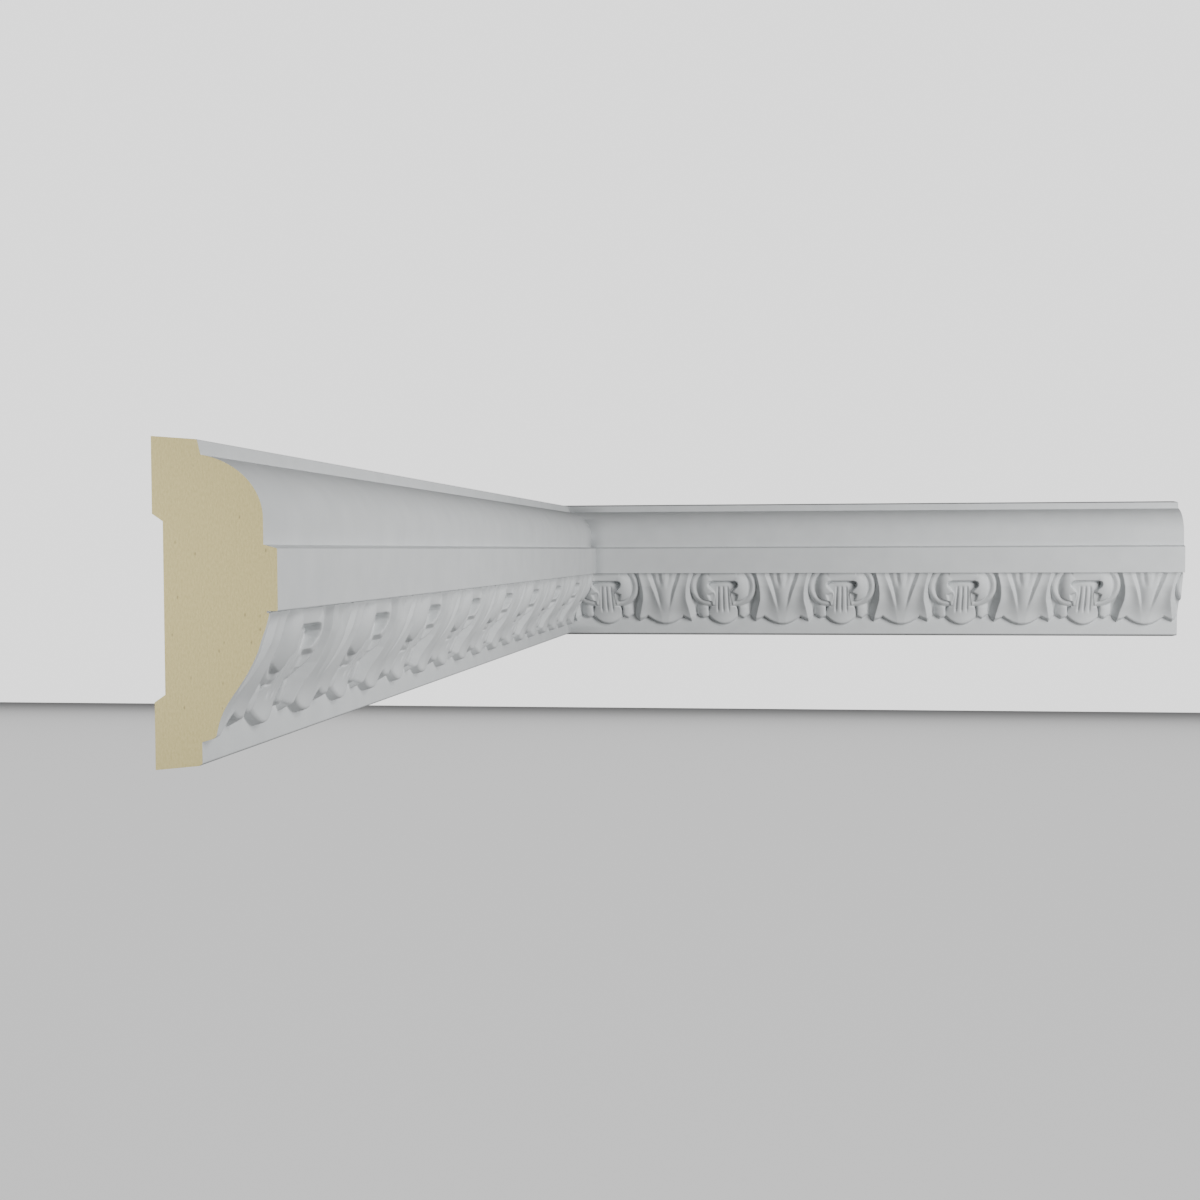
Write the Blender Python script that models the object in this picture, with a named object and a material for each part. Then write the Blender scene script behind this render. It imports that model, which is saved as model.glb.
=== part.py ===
"""Panel moulding with a carved band, fitted round the inner corner of a room.

Two lengths of one cast foam moulding meet in a mitre. Each length is modelled lying along X, with
the wall's plane at Y = 0, the room on the -Y side and the foot of its front fillet at Z = 0, and is
then placed against its own wall. The carved band repeats a scroll and a leaf.
"""
import math

import bmesh
import bpy
import numpy as np

# Lengths of the two runs, from their square ends to the inner corner of the room
LEFT_LENGTH = 0.882
RIGHT_LENGTH = 0.528
MITRE_GAP = 0.0003

# Heights of the section, from the foot of the front fillet up
BAND_TOP = 0.0517
FASCIA_GAP = 0.0003
FASCIA_HEIGHT = 0.0211
STEP_RISE = 0.0013
OVOLO_STRAIGHT = 0.0088
OVOLO_RISE = 0.0216
LIP_HEIGHT = 0.0052
TOP_FALL = 0.0013
UNDERSIDE_FALL = 0.0024
BEVEL_RISE = 0.0008
FASCIA_BOTTOM = BAND_TOP + FASCIA_GAP
FASCIA_TOP = FASCIA_BOTTOM + FASCIA_HEIGHT
OVOLO_FOOT_HEIGHT = FASCIA_TOP + STEP_RISE
OVOLO_CENTRE_HEIGHT = OVOLO_FOOT_HEIGHT + OVOLO_STRAIGHT
LIP_FOOT_HEIGHT = OVOLO_CENTRE_HEIGHT + OVOLO_RISE
TOP_HEIGHT = LIP_FOOT_HEIGHT + LIP_HEIGHT

# Distances of the section's front from the wall
FILLET_DEPTH = 0.0167
FOOT_BEVEL = 0.0012
LOBE_PROUD = 0.0049
FASCIA_DEPTH = 0.0438
FASCIA_OVERHANG = 0.0028
OVOLO_SETBACK = 0.0048
OVOLO_REACH = 0.0273
LIP_DEPTH = 0.0174
LIP_LEAN = 0.0012
BAND_TOP_DEPTH = FASCIA_DEPTH - FASCIA_OVERHANG
OVOLO_DEPTH = FASCIA_DEPTH - OVOLO_SETBACK
OVOLO_CENTRE_DEPTH = OVOLO_DEPTH - OVOLO_REACH
TOP_DEPTH = LIP_DEPTH - LIP_LEAN
OVOLO_SEGMENTS = 8

# Recess in the back
RECESS_DEPTH = 0.0038
RECESS_SLOPE = 0.0026
RECESS_BOTTOM = 0.0208
RECESS_TOP = 0.0850

# Carved band: a scroll and a leaf in every repeat
REPEAT = 0.100
FIRST_SCROLL = 0.051
LOBE_FOOT = 0.0074
RELIEF = 0.0068

# Side-to-side sizes of the carving, in hundredths of a repeat, from the scroll's or the leaf's centre
WIDTH = 100.0
HALF = WIDTH / 2
LEAF_LOBE = 15.3
LEAF_TIP = 22.4
PENDANT_LOBE = 12.9
BUD_CENTRE = 17.6
BUD_CREST = 15.4
BUD_EDGE = 21.8
EAR_CENTRE = 10.3
EAR_RADIUS = 17.5
RING_RADIUS = 12.9

# Heights of the carving, counted up from the foot of the front fillet, where the band has its real height
FOOT = 7.4
TOP = 51.7
CUSP_HEIGHT = 14.1
TIP_HEIGHT = 10.0
BUD_HEIGHT = 12.6
NOTCH_HEIGHT = 15.8
EAR_HEIGHT = 40.8
BAR_FOOT = 45.0

# Ogee behind the carving: handles of its curve, as shares of its rise and of its reach
OGEE_LOW_HANDLE = (0.406, 0.09)
OGEE_HIGH_HANDLE = (0.343, 0.645)
OGEE_STEPS = 65

# Leaf, at the given heights. Places run from its centre line, and levels are shares of RELIEF over the ogee
LEAF_LEVELS = (12.0, 17.0, 23.0, 29.0, 35.0, 41.0, 47.0, 51.0)
GROOVE_LINE = (1.5, 2.0, 3.6, 4.7, 5.9, 7.5, 9.4, 10.8)
GROOVE_DEEP = (0.0, 0.0, 0.06, 0.21, 0.28, 0.31, 0.39, 0.36)
LIP_LINE = (3.0, 4.0, 5.2, 6.9, 8.7, 10.8, 13.0, 14.2)
LIP_LEVEL = (0.0, -0.02, -0.04, -0.02, 0.0, -0.02, -0.14, -0.18)
RIDGE_LINE = (22.4, 21.4, 20.0, 18.5, 18.4, 19.1, 20.4, 21.6)
RIDGE_LEVEL = (0.06, 0.10, 0.11, 0.03, 0.0, 0.02, -0.06, -0.10)
HOLLOW_DEEP = (0.20, 0.25, 0.26, 0.27, 0.25, 0.14, 0.09, 0.08)
SHORT_LEVELS = (38.5, 41.0, 44.0, 47.0, 51.0)
SHORT_LINE = (2.6, 2.7, 3.3, 4.0, 4.4)
SHORT_DEEP = (0.0, 0.07, 0.16, 0.20, 0.20)
SHORT_WIDTH = 2.8
FLANK_LEVELS = (14.0, 28.0, 40.0, 51.0)
FLANK_WIDTH = (5.2, 5.6, 3.4, 4.2)
VALLEY_LEVELS = (17.0, 26.0, 29.0, 33.0, 37.0, 44.0, 50.0)
VALLEY = (-1.0, -1.2, -1.15, -1.0, -0.90, -0.85, -0.80)

# Scroll, in the same units
BUD_LEVELS = (13.0, 18.0, 22.0, 25.5)
BUD_CROWN = (-0.16, -0.20, -0.36, -0.66)
BUD_OUTER_FALL = 0.46
BUD_OUTER_WIDTH = 6.4
BUD_INNER_FALL = 0.20
BUD_INNER_WIDTH = 3.0
PENDANT_LEVELS = (12.0, 22.0, 34.0, 45.0)
PENDANT_CROWN = (-0.02, -0.16, -0.32, -0.50)
PENDANT_FALL = (0.46, 0.41, 0.40, 0.40)
FLUTE_LINE = (4.8, 4.5, 4.1, 3.7)
FLUTE_WIDTH = 1.2
FLUTE_DEEP = 0.26
FLUTE_FOOT = 17.0
FLUTE_HEAD = 41.5
RING_LEVEL = -0.62
RING_RISE = 0.22
RING_LINE = 15.3
RING_WIDTH = 2.4
DOME_LEVEL = 0.16
DOME_FALL = 1.10
DOME_CENTRE = (12.5, 39.0)
DOME_WIDTH = 10.3
DOME_HEIGHT = 19.0
DOME_POWER = 1.3
BAR_LEVEL = -0.04
BAR_END = 11.0
BAR_FALL = 0.10
CURL_LEVELS = (24.5, 28.0, 34.0)
CURL_LEVEL = (-0.14, -0.28, -0.36)
SLOT_DEEP = 0.30
SLOT_WIDTH = 0.9
SLOT_FOOT = 40.0
WALL = 1.6
CURL_WALL = 2.0
FLOOR_COVER = 0.1
WINDOW = [(-5.0, BAR_FOOT), (9.6, BAR_FOOT), (11.8, BAR_FOOT - 0.8), (12.6, BAR_FOOT - 2.6),
          (12.0, BAR_FOOT - 4.8), (7.2, 35.6), (6.6, 33.4), (7.0, 28.0), (8.6, 23.6), (-5.0, 23.6)]
CURL = [(7.2, 35.6), (12.4, 33.4), (11.2, 29.6), (8.8, 24.4), (7.6, 24.6), (6.8, 29.0)]
PENDANT = [(-5.0, 46.0), (10.4, 46.0), (9.0, 38.0), (7.0, 33.0), (8.0, 27.0), (11.6, 22.0),
           (12.7, 18.0), (13.1, 12.0), (13.1, 4.0), (-5.0, 4.0)]
BUD = [(12.9, 4.0), (12.9, 26.0), (22.2, 28.0), (22.2, 4.0)]

# Lower edge of the carving: rise of its front arris over its root
ARRIS_RISE = 1.1
TIP_RISE = 1.5
TIP_SPREAD = 3.5
NOTCH_FALL = 0.5
NOTCH_SPREAD = 2.0

# Fineness of the carving before and after its flat parts are simplified
COLUMNS = 72
ROWS = 60
HALF_REPEAT_TRIANGLES = 230
TOP_OVERLAP = 2.2
BLOCK_BACK = 0.0080
TRIM_MARGIN = 0.005
SKIRT_SINK = 0.0003
BORDER_SNAP = 0.4
WELD = 1e-5

PAINT = (0.80, 0.81, 0.80, 1.0)
PAINT_ROUGHNESS = 0.55


def blend(low, high, share):
    """Value between low and high, at a share from 0 to 1."""
    return low + (high - low) * np.clip(share, 0.0, 1.0)


def ease(share):
    """Smooth step from 0 to 1."""
    share = np.clip(share, 0.0, 1.0)
    return share * share * (3.0 - 2.0 * share)


def groove(offset, half_width):
    """V-shaped cut: 1 on its line, 0 beyond its half width."""
    return np.clip(1.0 - np.abs(offset) / half_width, 0.0, 1.0)


def edge_distance(a, z, outline):
    """Distance from a closed outline, positive inside it."""
    nearest = np.full(np.broadcast(a, z).shape, 1e9)
    inside = np.zeros(nearest.shape, dtype=bool)
    for (a0, z0), (a1, z1) in zip(outline, outline[1:] + outline[:1]):
        da, dz = a1 - a0, z1 - z0
        share = np.clip(((a - a0) * da + (z - z0) * dz) / (da * da + dz * dz), 0.0, 1.0)
        nearest = np.minimum(nearest, np.hypot(a - a0 - share * da, z - z0 - share * dz))
        if dz:
            inside ^= ((z0 > z) != (z1 > z)) & (a < a0 + (z - z0) * da / dz)
    return np.where(inside, nearest, -nearest)


def ogee_depth(z):
    """Distance from the wall to the plain ogee behind the carving, in metres."""
    share = (np.clip(z, FOOT, TOP) - FOOT) / (TOP - FOOT)
    foot, top = FILLET_DEPTH + LOBE_PROUD, BAND_TOP_DEPTH
    steps = np.linspace(0.0, 1.0, OGEE_STEPS)
    low, high = 3 * (1.0 - steps) ** 2 * steps, 3 * (1.0 - steps) * steps ** 2
    rises, reaches = (low * low_handle + high * high_handle + steps ** 3
                      for low_handle, high_handle in zip(OGEE_LOW_HANDLE, OGEE_HIGH_HANDLE))
    return foot + (top - foot) * np.interp(share, rises, reaches)


def valley_level(z):
    """Height of the cut between the scrolls and the leaves."""
    return np.interp(z, VALLEY_LEVELS, VALLEY)


def leaf_relief(v, z):
    """Leaf, v from its centre: a rounded rib, a groove, a lip, a hollow side, and a ridge along each edge."""
    line, deep, lip, lip_height, ridge, ridge_height, hollow = (
        np.interp(z, LEAF_LEVELS, row) for row in (GROOVE_LINE, GROOVE_DEEP, LIP_LINE, LIP_LEVEL,
                                                   RIDGE_LINE, RIDGE_LEVEL, HOLLOW_DEEP))
    side = np.clip((v - lip) / (ridge - lip), 0.0, 1.0)
    outer = blend(lip_height, ridge_height, side) - hollow * np.sin(math.pi * side)
    wall = blend(-deep, lip_height, (v - line) / (lip - line))
    rib = -deep * (v / line) ** 2
    short, short_deep = np.interp(z, SHORT_LEVELS, SHORT_LINE), np.interp(z, SHORT_LEVELS, SHORT_DEEP)
    rib = rib - short_deep * groove(v - short, SHORT_WIDTH)
    height = np.where(v < line, rib, np.where(v < lip, wall, outer))
    return blend(height, valley_level(z), (v - ridge) / np.interp(z, FLANK_LEVELS, FLANK_WIDTH))


def bud_relief(a, z):
    """Barrel-shaped bud under each ear of the scroll."""
    outer = BUD_OUTER_FALL * ((a - BUD_CREST) / BUD_OUTER_WIDTH) ** 2
    inner = BUD_INNER_FALL * ((a - BUD_CREST) / BUD_INNER_WIDTH) ** 2
    return np.interp(z, BUD_LEVELS, BUD_CROWN) - np.where(a > BUD_CREST, outer, inner)


def pendant_relief(a, z):
    """Fluted tongue between the ears, which ends in a lobe."""
    line, crown, fall = (np.interp(z, PENDANT_LEVELS, row)
                         for row in (FLUTE_LINE, PENDANT_CROWN, PENDANT_FALL))
    flutes = groove(a, FLUTE_WIDTH) + groove(a - line, FLUTE_WIDTH)
    fade = ease((FLUTE_HEAD - z) / 3.0) * ease((z - FLUTE_FOOT) / 5.0)
    return crown - FLUTE_DEEP * fade * flutes - fall * (a / PENDANT_LOBE) ** 2


def ear_relief(a, z):
    """Domed ear of the scroll inside its ring, and the bar that joins the two ears."""
    r = np.hypot(a - EAR_CENTRE, z - EAR_HEIGHT)
    ring = RING_LEVEL + RING_RISE * np.sqrt(groove(r - RING_LINE, RING_WIDTH))
    across, up = (a - DOME_CENTRE[0]) / DOME_WIDTH, (z - DOME_CENTRE[1]) / DOME_HEIGHT
    dome = np.maximum(DOME_LEVEL - DOME_FALL * (across ** 2 + up ** 2) ** DOME_POWER, RING_LEVEL)
    bar = BAR_LEVEL - BAR_FALL * np.clip(a - BAR_END, 0.0, None)
    ear = np.where(r < RING_RADIUS, dome, ring)
    return np.where(z > BAR_FOOT - 3.0, np.maximum(ear, bar), ear)


def layer(height, cover, distance, wall):
    """Lays cover over height inside an outline, with a steep wall of the given width."""
    return height + (cover - height) * ease(0.5 + distance / wall)


def carving(a, z):
    """Distance from the wall to the carved front, at a from a scroll's centre and height z."""
    height = leaf_relief(HALF - a, z)
    height = layer(height, bud_relief(a, z), edge_distance(a, z, BUD), WALL)
    height = layer(height, pendant_relief(a, z), edge_distance(a, z, PENDANT), WALL)
    r = np.hypot(a - EAR_CENTRE, z - EAR_HEIGHT)
    height = layer(height, ear_relief(a, z), EAR_RADIUS - r, WALL)
    height = layer(height, np.interp(z, CURL_LEVELS, CURL_LEVEL), edge_distance(a, z, CURL), CURL_WALL)
    slot = edge_distance(a, z, WINDOW)
    height = layer(height, pendant_relief(a, z), slot, WALL)
    height = height - SLOT_DEEP * groove(slot - SLOT_WIDTH, SLOT_WIDTH) * ease((z - SLOT_FOOT) / 3.0)
    return np.maximum(ogee_depth(z) + RELIEF * height, FILLET_DEPTH + FLOOR_COVER * RELIEF)


def scallop_root(a):
    """Height at which the carving's lower edge meets the plain fillet."""
    v = HALF - a
    pendant = FOOT + (CUSP_HEIGHT - FOOT) * (a / PENDANT_LOBE) ** 2
    leaf = FOOT + (CUSP_HEIGHT - FOOT) * (v / LEAF_LOBE) ** 2
    between = np.interp(a, (PENDANT_LOBE, BUD_CENTRE, BUD_EDGE, HALF - LEAF_TIP, HALF - LEAF_LOBE),
                        (CUSP_HEIGHT, BUD_HEIGHT, NOTCH_HEIGHT, TIP_HEIGHT, CUSP_HEIGHT))
    return np.where(a < PENDANT_LOBE, pendant, np.where(v < LEAF_LOBE, leaf, between))


def scallop_rise(a):
    """Height of the front arris over the root: the leaf's tips lean back the most."""
    tip = TIP_RISE * groove(a - (HALF - LEAF_TIP), TIP_SPREAD)
    return ARRIS_RISE + tip - NOTCH_FALL * groove(a - BUD_EDGE, NOTCH_SPREAD)


def real_x(a):
    """Length along the run, in metres, of a side-to-side size of the carving."""
    return a * REPEAT / WIDTH


def real_z(z):
    """Height in metres of a height of the carving."""
    return LOBE_FOOT + (z - FOOT) * (BAND_TOP - LOBE_FOOT) / (TOP - FOOT)


def new_object(name, mesh, group):
    """Object in a collection, from a mesh."""
    thing = bpy.data.objects.new(name, mesh)
    group.objects.link(thing)
    return thing


def mesh_from(name, bm):
    """Mesh made from a bmesh, which it frees."""
    mesh = bpy.data.meshes.new(name)
    bm.to_mesh(mesh)
    bm.free()
    return mesh


def half_repeat(group):
    """Half a repeat of the carving, from a scroll's centre to a leaf's, as a simplified open sheet."""
    bm = bmesh.new()
    bmesh.ops.create_grid(bm, x_segments=COLUMNS, y_segments=ROWS, size=0.5)
    across = np.array([vert.co.x + 0.5 for vert in bm.verts]) * HALF
    share = np.array([vert.co.y + 0.5 for vert in bm.verts])
    foot = scallop_root(across) + scallop_rise(across)
    height = foot + share * (TOP + TOP_OVERLAP - foot)
    depth = carving(across, np.minimum(height, TOP))
    for vert, a, d, z in zip(bm.verts, across, depth, height):
        vert.co = (real_x(a), -d, real_z(z))
    sheet = new_object("half_repeat", mesh_from("half_repeat", bm), group)
    simplify = sheet.modifiers.new("simplify", "DECIMATE")
    simplify.decimate_type = "COLLAPSE"
    simplify.ratio = HALF_REPEAT_TRIANGLES / (2 * COLUMNS * ROWS)
    simplify.use_collapse_triangulate = True
    depsgraph = bpy.context.evaluated_depsgraph_get()
    mesh = bpy.data.meshes.new_from_object(sheet.evaluated_get(depsgraph))
    bpy.data.objects.remove(sheet)
    return mesh


def square_up(bm):
    """Puts the sheet's side and top borders back on straight lines."""
    for vert in bm.verts:
        if not vert.is_boundary:
            continue
        if vert.co.x < real_x(BORDER_SNAP):
            vert.co.x = 0.0
        elif vert.co.x > real_x(HALF - BORDER_SNAP):
            vert.co.x = real_x(HALF)


def relief_block(name, length, group):
    """Solid strip that carries the carving, longer than the run at both ends."""
    half = half_repeat(group)
    bm = bmesh.new()
    bm.from_mesh(half)
    square_up(bm)
    other = bmesh.ops.duplicate(bm, geom=bm.verts[:] + bm.edges[:] + bm.faces[:])["geom"]
    other_faces = [item for item in other if isinstance(item, bmesh.types.BMFace)]
    for vert in (item for item in other if isinstance(item, bmesh.types.BMVert)):
        vert.co.x = -vert.co.x
    bmesh.ops.reverse_faces(bm, faces=other_faces)
    bmesh.ops.remove_doubles(bm, verts=bm.verts, dist=WELD)
    first = math.floor(-FIRST_SCROLL / REPEAT)
    last = math.ceil((length - FIRST_SCROLL) / REPEAT)
    one = bm.verts[:] + bm.edges[:] + bm.faces[:]
    bmesh.ops.translate(bm, vec=(FIRST_SCROLL + first * REPEAT, 0, 0), verts=bm.verts)
    for number in range(1, last - first + 1):
        copy = bmesh.ops.duplicate(bm, geom=one)["geom"]
        verts = [item for item in copy if isinstance(item, bmesh.types.BMVert)]
        bmesh.ops.translate(bm, vec=(number * REPEAT, 0, 0), verts=verts)
    bmesh.ops.remove_doubles(bm, verts=bm.verts, dist=WELD)
    close_block(bm)
    return new_object(name, mesh_from(name, bm), group)


def close_block(bm):
    """Turns the carved sheet into a solid: a skirt down to the fillet, then straight sides and a back."""
    rim = [edge for edge in bm.edges if edge.is_boundary]
    skirt = bmesh.ops.extrude_edge_only(bm, edges=rim)["geom"]
    verts = [item for item in skirt if isinstance(item, bmesh.types.BMVert)]
    edges = [item for item in skirt if isinstance(item, bmesh.types.BMEdge)]
    for vert in verts:
        a = abs((vert.co.x - FIRST_SCROLL) / REPEAT % 1.0)
        a = min(a, 1.0 - a) * WIDTH
        if vert.co.z < real_z(TOP):
            vert.co.z = min(vert.co.z, real_z(float(scallop_root(a))))
        vert.co.y = -(FILLET_DEPTH - SKIRT_SINK)
    back = bmesh.ops.extrude_edge_only(bm, edges=edges)["geom"]
    verts = [item for item in back if isinstance(item, bmesh.types.BMVert)]
    edges = [item for item in back if isinstance(item, bmesh.types.BMEdge)]
    for vert in verts:
        vert.co.y = -BLOCK_BACK
    bmesh.ops.contextual_create(bm, geom=edges)
    bmesh.ops.recalc_face_normals(bm, faces=bm.faces)


def section_outline():
    """Section of the moulding without its carving: (distance from the wall, height), going round."""
    top_back = TOP_HEIGHT + TOP_FALL
    start = math.acos((LIP_DEPTH - OVOLO_CENTRE_DEPTH) / OVOLO_REACH)
    rise = OVOLO_RISE / math.sin(start)
    points = [(0.0, top_back), (TOP_DEPTH, TOP_HEIGHT), (LIP_DEPTH, LIP_FOOT_HEIGHT)]
    for step in range(1, OVOLO_SEGMENTS + 1):
        turn = start * (1.0 - step / OVOLO_SEGMENTS)
        depth = OVOLO_CENTRE_DEPTH + OVOLO_REACH * math.cos(turn)
        points.append((depth, OVOLO_CENTRE_HEIGHT + rise * math.sin(turn)))
    points += [(OVOLO_DEPTH, OVOLO_FOOT_HEIGHT), (FASCIA_DEPTH, FASCIA_TOP), (FASCIA_DEPTH, FASCIA_BOTTOM),
               (FILLET_DEPTH, BAND_TOP), (FILLET_DEPTH, 0.0), (FILLET_DEPTH - FOOT_BEVEL, -BEVEL_RISE),
               (0.0, -UNDERSIDE_FALL), (0.0, RECESS_BOTTOM), (RECESS_DEPTH, RECESS_BOTTOM + RECESS_SLOPE),
               (RECESS_DEPTH, RECESS_TOP - RECESS_SLOPE), (0.0, RECESS_TOP)]
    return points


def prism(name, outline, start, end, axis, group):
    """Closed prism: a flat outline swept from start to end along X or Z."""
    bm = bmesh.new()
    if axis == "X":
        verts = [bm.verts.new((start, -depth, height)) for depth, height in outline]
        sweep = (end - start, 0.0, 0.0)
    else:
        verts = [bm.verts.new((along, -depth, start)) for along, depth in outline]
        sweep = (0.0, 0.0, end - start)
    face = bm.faces.new(verts)
    moved = bmesh.ops.extrude_face_region(bm, geom=[face], use_keep_orig=True)["geom"]
    bmesh.ops.translate(bm, vec=sweep, verts=[item for item in moved if isinstance(item, bmesh.types.BMVert)])
    bmesh.ops.recalc_face_normals(bm, faces=bm.faces)
    return new_object(name, mesh_from(name, bm), group)


def boolean(thing, operation, operand):
    """Boolean modifier with another object."""
    modifier = thing.modifiers.new(operation.lower(), "BOOLEAN")
    modifier.operation = operation
    modifier.solver = "EXACT"
    modifier.use_self = True
    modifier.object = operand


def paint_material(name):
    """Matt primed paint."""
    material = bpy.data.materials.new(name)
    material.use_nodes = True
    shader = material.node_tree.nodes["Principled BSDF"]
    shader.inputs["Base Color"].default_value = PAINT
    shader.inputs["Roughness"].default_value = PAINT_ROUGHNESS
    shader.inputs["Metallic"].default_value = 0.0
    return material


def run(name, length, mitre_at_start, parts, cutters):
    """One length of moulding, square at one end and mitred at the other."""
    body = prism(name, section_outline(), -REPEAT / 2, length + REPEAT / 2, "X", parts)
    carved = relief_block(name + "_carving", length, cutters)
    back, front = -TRIM_MARGIN, FASCIA_DEPTH + TRIM_MARGIN
    held_back = MITRE_GAP / 2 * math.sqrt(2)
    if mitre_at_start:
        plan = [(back + held_back, back), (length, back), (length, front), (front + held_back, front)]
    else:
        plan = [(0.0, back), (length - back - held_back, back), (length - front - held_back, front),
                (0.0, front)]
    bottom, top = -UNDERSIDE_FALL - TRIM_MARGIN, TOP_HEIGHT + TOP_FALL + TRIM_MARGIN
    keep = prism(name + "_plan", plan, bottom, top, "Z", cutters)
    boolean(body, "UNION", carved)
    boolean(body, "INTERSECT", keep)
    body.data.materials.append(paint_material(name + "_paint"))
    return body


def main():
    for thing in list(bpy.data.objects):
        bpy.data.objects.remove(thing)
    parts = bpy.data.collections.new("panel_moulding")
    cutters = bpy.data.collections.new("cutters")
    for group in (parts, cutters):
        bpy.context.scene.collection.children.link(group)
    origin_height = (RECESS_TOP + TOP_HEIGHT + TOP_FALL) / 2
    left = run("left_run", LEFT_LENGTH, False, parts, cutters)
    right = run("right_run", RIGHT_LENGTH, True, parts, cutters)
    for thing in list(parts.objects) + list(cutters.objects):
        if thing.name.startswith("left_run"):
            thing.location = (0.0, -LEFT_LENGTH / 2, -origin_height)
            thing.rotation_euler = (0.0, 0.0, math.pi / 2)
        else:
            thing.location = (0.0, LEFT_LENGTH / 2, -origin_height)
    for cutter in cutters.objects:
        cutter.hide_render = True
        cutter.display_type = "WIRE"
    for body in (left, right):
        body.data.shade_smooth()


main()
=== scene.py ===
"""Looks of the panel moulding: two lengths of white cast foam with a carved band, mitred in a corner.

Each length is built along its own X, with the wall's plane at Y = 0, the room on the -Y side and the
foot of its front fillet at Z = 0, and is then placed where its solid is. Lengths are in metres. The
carving's own sizes are hundredths of a repeat from side to side, and millimetres upwards.
"""

import math

import bmesh
import bpy
import numpy as np
from mathutils import Matrix, Vector


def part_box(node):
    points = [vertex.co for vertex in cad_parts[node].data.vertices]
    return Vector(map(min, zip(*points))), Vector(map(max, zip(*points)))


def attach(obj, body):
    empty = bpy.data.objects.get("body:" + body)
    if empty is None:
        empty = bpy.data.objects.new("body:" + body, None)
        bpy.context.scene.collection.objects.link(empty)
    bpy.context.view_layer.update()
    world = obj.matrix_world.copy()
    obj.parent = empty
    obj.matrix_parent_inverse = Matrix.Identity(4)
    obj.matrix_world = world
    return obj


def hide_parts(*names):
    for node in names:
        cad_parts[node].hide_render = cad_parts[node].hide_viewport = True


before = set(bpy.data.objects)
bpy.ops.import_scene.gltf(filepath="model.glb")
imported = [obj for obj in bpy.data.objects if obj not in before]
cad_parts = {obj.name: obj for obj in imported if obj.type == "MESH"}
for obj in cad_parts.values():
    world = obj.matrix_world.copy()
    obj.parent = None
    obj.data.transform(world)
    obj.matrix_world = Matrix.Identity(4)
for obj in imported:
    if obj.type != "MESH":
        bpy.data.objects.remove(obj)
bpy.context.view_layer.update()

# Heights of the section, from the foot of the front fillet up
BAND_TOP = 0.0517
FASCIA_GAP = 0.0003
FASCIA_HEIGHT = 0.0211
STEP_RISE = 0.0013
OVOLO_STRAIGHT = 0.0088
OVOLO_RISE = 0.0216
LIP_HEIGHT = 0.0052
TOP_FALL = 0.0013
UNDERSIDE_FALL = 0.0024
BEVEL_RISE = 0.0008
FASCIA_BOTTOM = BAND_TOP + FASCIA_GAP
FASCIA_TOP = FASCIA_BOTTOM + FASCIA_HEIGHT
OVOLO_FOOT_HEIGHT = FASCIA_TOP + STEP_RISE
OVOLO_CENTRE_HEIGHT = OVOLO_FOOT_HEIGHT + OVOLO_STRAIGHT
LIP_FOOT_HEIGHT = OVOLO_CENTRE_HEIGHT + OVOLO_RISE
TOP_HEIGHT = LIP_FOOT_HEIGHT + LIP_HEIGHT

# Distances of the section's front from the wall
FILLET_DEPTH = 0.0167
FOOT_BEVEL = 0.0012
LOBE_PROUD = 0.0049
FASCIA_DEPTH = 0.0438
FASCIA_OVERHANG = 0.0028
OVOLO_SETBACK = 0.0048
OVOLO_REACH = 0.0273
LIP_DEPTH = 0.0174
LIP_LEAN = 0.0012
BAND_TOP_DEPTH = FASCIA_DEPTH - FASCIA_OVERHANG
OVOLO_DEPTH = FASCIA_DEPTH - OVOLO_SETBACK
OVOLO_CENTRE_DEPTH = OVOLO_DEPTH - OVOLO_REACH
TOP_DEPTH = LIP_DEPTH - LIP_LEAN

# Recess in the back
RECESS_DEPTH = 0.0038
RECESS_SLOPE = 0.0026
RECESS_BOTTOM = 0.0208
RECESS_TOP = 0.0850

# Carved band: a scroll and a leaf in every repeat
REPEAT = 0.100
FIRST_SCROLL = 0.051
LOBE_FOOT = 0.0074
RELIEF = 0.0068

# Side-to-side sizes of the carving, in hundredths of a repeat, from the scroll's or the leaf's centre
WIDTH = 100.0
HALF = WIDTH / 2
LEAF_LOBE = 15.3
LEAF_TIP = 22.4
PENDANT_LOBE = 12.9
BUD_CENTRE = 17.6
BUD_CREST = 15.4
BUD_EDGE = 21.8
EAR_CENTRE = 10.3
EAR_RADIUS = 17.5
RING_RADIUS = 12.9

# Heights of the carving, counted up from the foot of the front fillet, where the band has its real height
FOOT = 7.4
TOP = 51.7
CUSP_HEIGHT = 14.1
TIP_HEIGHT = 10.0
BUD_HEIGHT = 12.6
NOTCH_HEIGHT = 15.8
EAR_HEIGHT = 40.8
BAR_FOOT = 45.0

# Ogee behind the carving: handles of its curve, as shares of its rise and of its reach
OGEE_LOW_HANDLE = (0.406, 0.09)
OGEE_HIGH_HANDLE = (0.343, 0.645)
OGEE_STEPS = 65

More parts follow.
